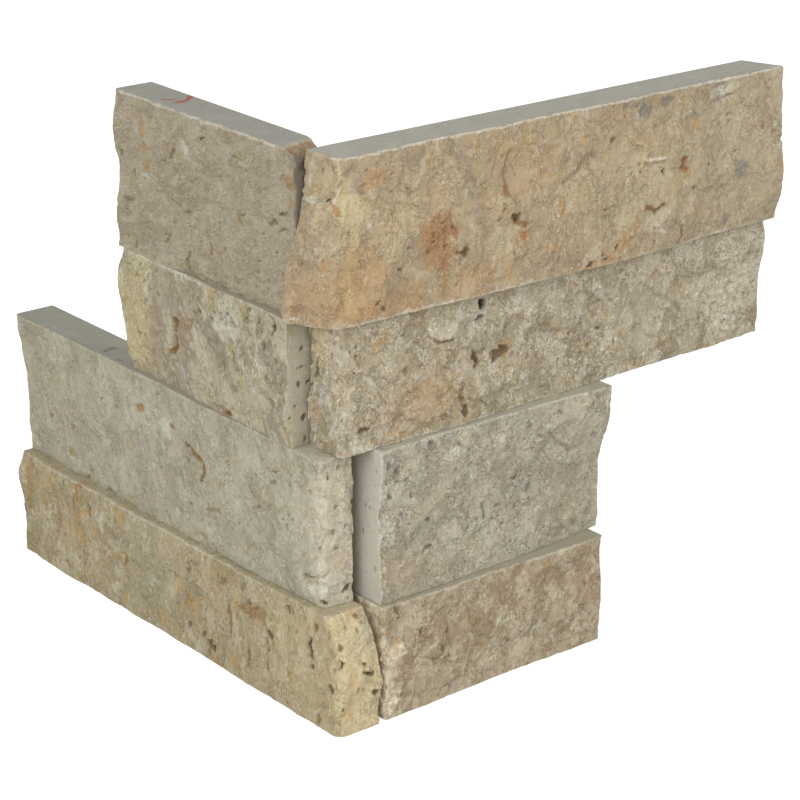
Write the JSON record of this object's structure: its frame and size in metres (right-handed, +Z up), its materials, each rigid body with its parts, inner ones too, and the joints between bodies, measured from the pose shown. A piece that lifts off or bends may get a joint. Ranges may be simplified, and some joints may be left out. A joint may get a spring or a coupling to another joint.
{
  "type": "split face stone corner",
  "caption": "Outside corner unit of travertine ledger stone: sawn and split strips bonded in an L of staggered long and short courses.",
  "frame": {"origin": "the line where the backs of the two legs meet, at the bed", "axes": "+X along the right leg away from the corner, +Y along the left leg away from the corner, +Z up the courses; the wall is where X and Y are both positive"},
  "size_m": [0.1638, 0.1567, 0.1524],
  "materials": {
    "ochre_travertine": "split face, sawn back and edges",
    "taupe_travertine": "split face, sawn back and edges",
    "pale_travertine": "split face, sawn back and edges",
    "grey_travertine": "split face, sawn back and edges",
    "banded_travertine": "split face, sawn back and edges",
    "mottled_travertine": "split face, sawn back and edges",
    "beige_travertine": "split face, sawn back and edges",
    "peach_travertine": "split face, sawn back and edges"
  },
  "bodies": {
    "root": {"course_1_left_strip": "ochre_travertine", "course_1_right_strip": "taupe_travertine", "course_2_left_strip": "pale_travertine", "course_2_right_strip": "grey_travertine", "course_3_left_strip": "banded_travertine", "course_3_right_strip": "mottled_travertine", "course_4_left_strip": "beige_travertine", "course_4_right_strip": "peach_travertine"}
  },
  "joints": []
}
